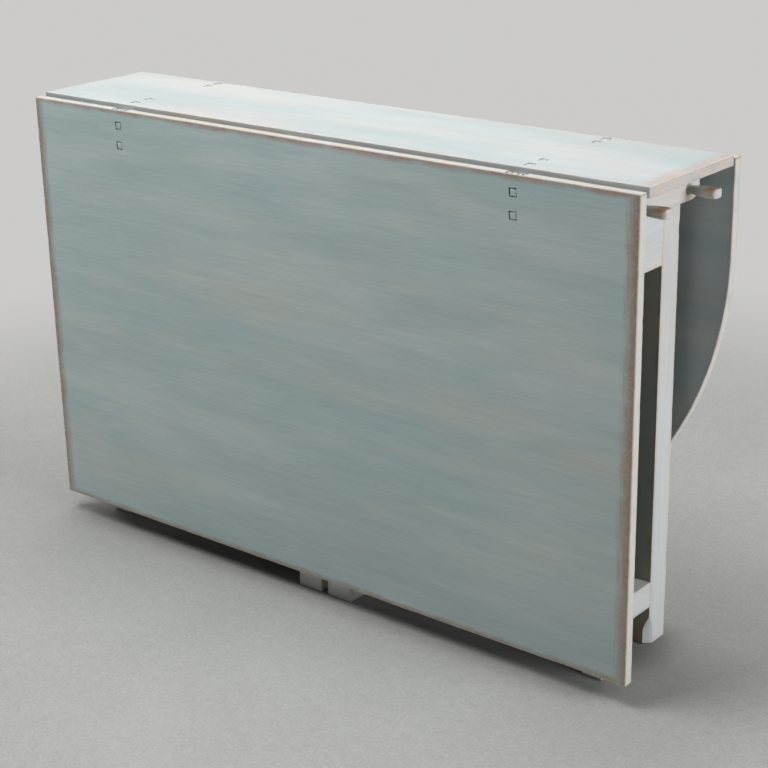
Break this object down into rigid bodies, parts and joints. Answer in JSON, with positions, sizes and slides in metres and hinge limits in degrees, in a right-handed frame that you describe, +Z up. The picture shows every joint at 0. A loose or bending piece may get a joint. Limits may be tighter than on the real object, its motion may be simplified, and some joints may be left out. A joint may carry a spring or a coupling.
{
  "type": "gateleg table",
  "caption": "Narrow painted gateleg table with one rectangular and one half-round drop leaf, swinging gate legs and loose wooden locking pegs.",
  "frame": {"origin": "on the floor, under the middle of the fixed top", "axes": "+X along the fixed top and its leaves, +Y from the rectangular leaf towards the half-round leaf, +Z up"},
  "size_m": [1.17, 0.2682, 0.75],
  "materials": {
    "frame_paint": "worn pale blue-grey paint on softwood, matt",
    "top_paint": "worn pale blue-white paint on softwood, matt",
    "front_leaf_paint": "worn grey-green paint with brush streaks, matt",
    "rear_leaf_paint": "worn grey-green paint with brush streaks, matt",
    "peg_wood": "worn paint rubbed through to brown wood",
    "hinge_iron": "dark forged iron, painted over in places",
    "screw_steel": "dull steel",
    "top_paint_on_iron": "paint over square rivet heads",
    "leaf_paint_on_iron": "paint over square rivet heads"
  },
  "bodies": {
    "table_frame": {"apron_front": "frame_paint", "apron_rear": "frame_paint", "batten_left": "frame_paint", "batten_right": "frame_paint", "batten_screws": "screw_steel", "end_rail_lower_left": "frame_paint", "end_rail_lower_right": "frame_paint", "end_rail_upper_left": "frame_paint", "end_rail_upper_right": "frame_paint", "gate_leg_front_left": "frame_paint", "gate_leg_front_right": "frame_paint", "gate_leg_rear_left": "frame_paint", "gate_leg_rear_right": "frame_paint", "gate_rail_lower_front_left": "frame_paint", "gate_rail_lower_front_right": "frame_paint", "gate_rail_lower_rear_left": "frame_paint", "gate_rail_lower_rear_right": "frame_paint", "gate_rail_upper_front_left": "frame_paint", "gate_rail_upper_front_right": "frame_paint", "gate_rail_upper_rear_left": "frame_paint", "gate_rail_upper_rear_right": "frame_paint", "gate_stile_front_left": "frame_paint", "gate_stile_front_right": "frame_paint", "gate_stile_rear_left": "frame_paint", "gate_stile_rear_right": "frame_paint", "hinge_pin_front_left": "hinge_iron", "hinge_pin_front_right": "hinge_iron", "hinge_pin_rear_left": "hinge_iron", "hinge_pin_rear_right": "hinge_iron", "hinge_rivets_top": "top_paint_on_iron", "hinge_top_plate_front_left": "hinge_iron", "hinge_top_plate_front_right": "hinge_iron", "hinge_top_plate_rear_left": "hinge_iron", "hinge_top_plate_rear_right": "hinge_iron", "post_front_left": "frame_paint", "post_front_right": "frame_paint", "post_rear_left": "frame_paint", "post_rear_right": "frame_paint", "stretcher_front": "frame_paint", "stretcher_rear": "frame_paint", "top_board": "top_paint"},
    "leaf_front": {"front_leaf": "front_leaf_paint", "hinge_rivets_front_leaf": "leaf_paint_on_iron", "hinge_leaf_plate_front_left": "hinge_iron", "hinge_leaf_plate_front_right": "hinge_iron"},
    "leaf_rear": {"rear_leaf": "rear_leaf_paint", "hinge_rivets_rear_leaf": "leaf_paint_on_iron", "hinge_leaf_plate_rear_left": "hinge_iron", "hinge_leaf_plate_rear_right": "hinge_iron"},
    "peg_front_left": {"lock_peg_front_left": "peg_wood"},
    "peg_front_right": {"lock_peg_front_right": "peg_wood"},
    "peg_rear_left": {"lock_peg_rear_left": "peg_wood"},
    "peg_rear_right": {"lock_peg_rear_right": "peg_wood"}
  },
  "joints": [
    {"name": "leaf_front_hinge", "type": "hinge", "parent": "table_frame", "child": "leaf_front", "pos_m": [0, -0.12, 0.7365], "axis": [-1, 0, 0], "range_deg": [0, 90]},
    {"name": "leaf_rear_hinge", "type": "hinge", "parent": "table_frame", "child": "leaf_rear", "pos_m": [0, 0.12, 0.7365], "axis": [1, 0, 0], "range_deg": [0, 90]},
    {"name": "peg_front_left_draw", "type": "slide", "parent": "table_frame", "child": "peg_front_left", "axis": [-1, 0, 0], "range_m": [0, 0.06]},
    {"name": "peg_front_right_draw", "type": "slide", "parent": "table_frame", "child": "peg_front_right", "axis": [1, 0, 0], "range_m": [0, 0.06]},
    {"name": "peg_rear_left_draw", "type": "slide", "parent": "table_frame", "child": "peg_rear_left", "axis": [-1, 0, 0], "range_m": [0, 0.06]},
    {"name": "peg_rear_right_draw", "type": "slide", "parent": "table_frame", "child": "peg_rear_right", "axis": [1, 0, 0], "range_m": [0, 0.06]}
  ]
}
